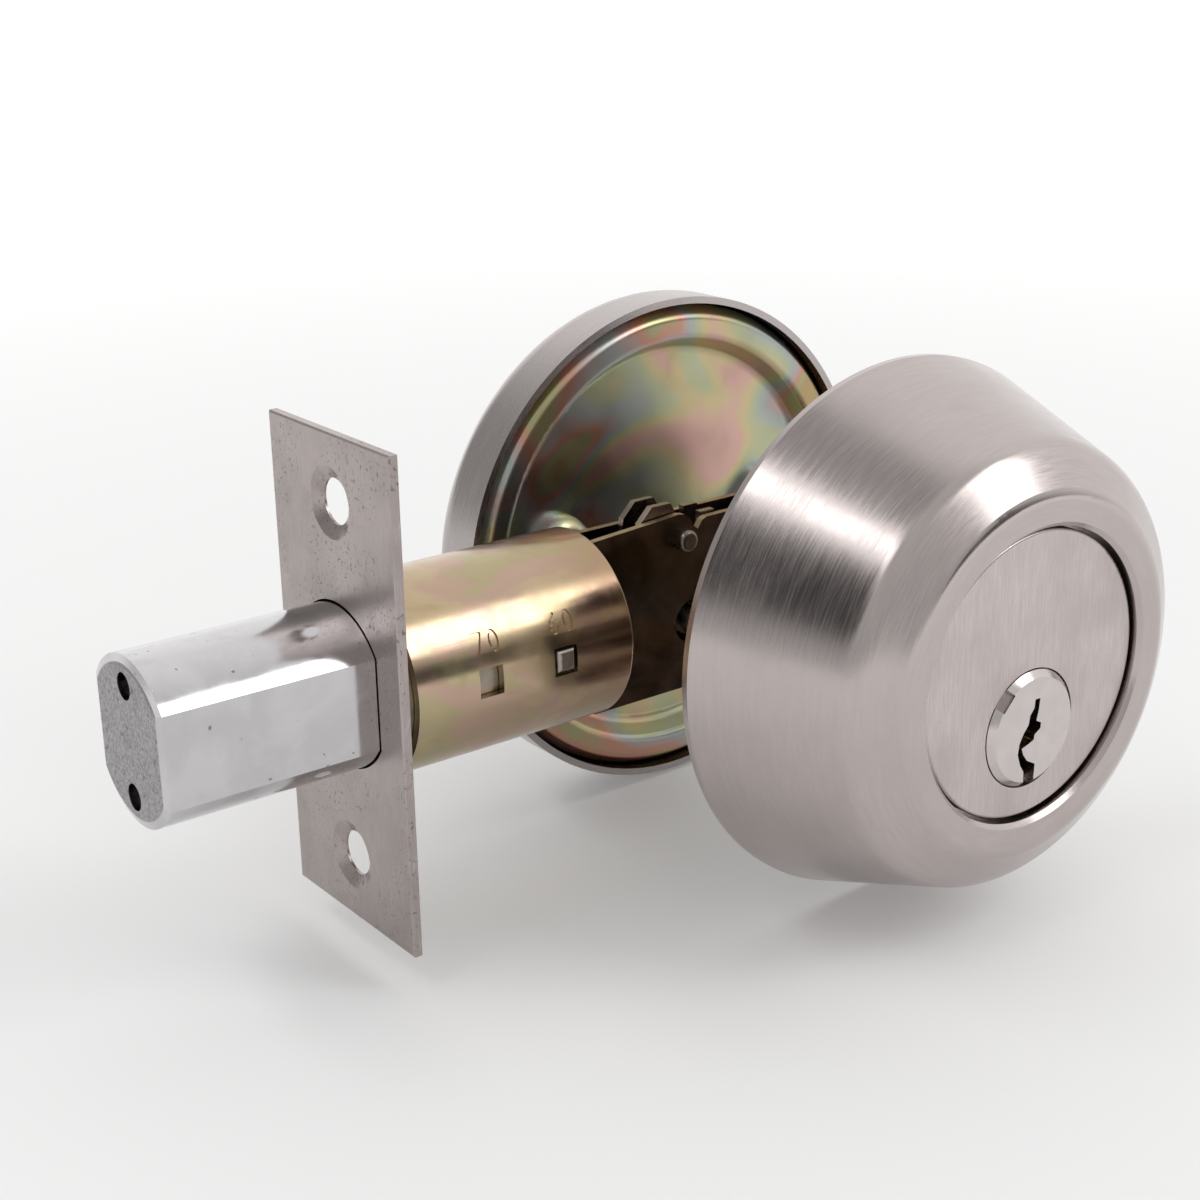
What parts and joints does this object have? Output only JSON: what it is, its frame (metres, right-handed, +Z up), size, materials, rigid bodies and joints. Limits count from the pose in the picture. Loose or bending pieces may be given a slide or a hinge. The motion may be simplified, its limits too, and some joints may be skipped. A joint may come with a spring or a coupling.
{
  "type": "deadbolt door lock",
  "caption": "Single-cylinder deadbolt: faceplate, sliding bolt, backset tube and latch case, tapered keyed cylinder outdoors, round rose with thumbturn indoors.",
  "frame": {"origin": "where the bolt's axis meets the centre line of the door's cross bore; the bolt is thrown", "axes": "-X the way the bolt leaves the door edge, -Y outdoors (keyed side), +Y indoors (thumbturn), +Z up"},
  "size_m": [0.1175, 0.09, 0.065],
  "materials": {
    "satin_nickel_face": "satin nickel plate, fine dark specks",
    "bright_nickel_bolt": "polished nickel plate, matte cast tip",
    "hardened_steel": "dark hardened steel",
    "dark_steel": "oiled dark steel",
    "yellow_chromate": "yellow zinc chromate, iridescent",
    "bronze_chromate": "dark bronze chromate on stamped steel",
    "satin_collar": "satin nickel, brushed round the axis",
    "satin_cylinder": "satin nickel die casting",
    "nickel_plug": "nickel-plated brass, fine turned face",
    "pin_brass": "plain brass",
    "spring_steel": "drawn spring wire",
    "stainless_rose": "brushed stainless",
    "satin_thumbturn": "satin nickel die casting",
    "nylon": "natural nylon",
    "zinc_screw": "satin nickel on steel"
  },
  "bodies": {
    "lock_body": {"faceplate": "satin_nickel_face", "latch_sleeve": "dark_steel", "backset_tube": "yellow_chromate", "case_plate_exterior": "bronze_chromate", "case_plate_interior": "bronze_chromate", "case_rivets": "dark_steel", "case_stud": "dark_steel", "exterior_collar": "satin_collar", "cylinder_housing": "satin_cylinder", "driver_pins": "pin_brass", "pin_springs": "spring_steel", "tower_cover": "pin_brass", "back_plate": "yellow_chromate", "interior_rose": "stainless_rose", "spindle_bushing": "nylon", "mounting_screws": "zinc_screw"},
    "bolt_assembly": {"bolt": "bright_nickel_bolt", "bolt_hardened_pins": "hardened_steel", "bolt_link": "bronze_chromate", "link_rivet": "hardened_steel"},
    "hub": {"hub_crank": "bronze_chromate", "crank_pin": "hardened_steel"},
    "plug": {"cylinder_plug": "nickel_plug", "key_pins": "pin_brass", "plug_cap": "pin_brass", "cap_lock_pin": "hardened_steel"},
    "tailpiece": {"tailpiece": "hardened_steel"},
    "thumbturn": {"thumbturn": "satin_thumbturn", "spindle_clip": "hardened_steel"}
  },
  "joints": [
    {"name": "thumbturn_turn", "type": "hinge", "parent": "lock_body", "child": "thumbturn", "pos_m": [0, 0.0286, -0.0062], "axis": [0, 1, 0], "range_deg": [0, 90]},
    {"name": "tailpiece_turn", "type": "hinge", "parent": "lock_body", "child": "tailpiece", "pos_m": [0, 0, -0.0062], "axis": [0, 1, 0], "range_deg": [0, 90]},
    {"name": "hub_turn", "type": "hinge", "parent": "lock_body", "child": "hub", "pos_m": [0, 0, -0.0062], "axis": [0, 1, 0], "range_deg": [0, 90]},
    {"name": "plug_turn", "type": "hinge", "parent": "lock_body", "child": "plug", "pos_m": [0, -0.035, -0.0062], "axis": [0, 1, 0], "range_deg": [0, 90]},
    {"name": "bolt_slide", "type": "slide", "parent": "lock_body", "child": "bolt_assembly", "axis": [1, 0, 0], "range_m": [0, 0.025]}
  ],
  "couplings": [
    {"joint": "tailpiece_turn", "follows": "thumbturn_turn", "ratio": 1},
    {"joint": "hub_turn", "follows": "thumbturn_turn", "ratio": 1},
    {"joint": "plug_turn", "follows": "thumbturn_turn", "ratio": 1},
    {"joint": "bolt_slide", "follows": "thumbturn_turn", "m_per_rad": 0.015915}
  ]
}
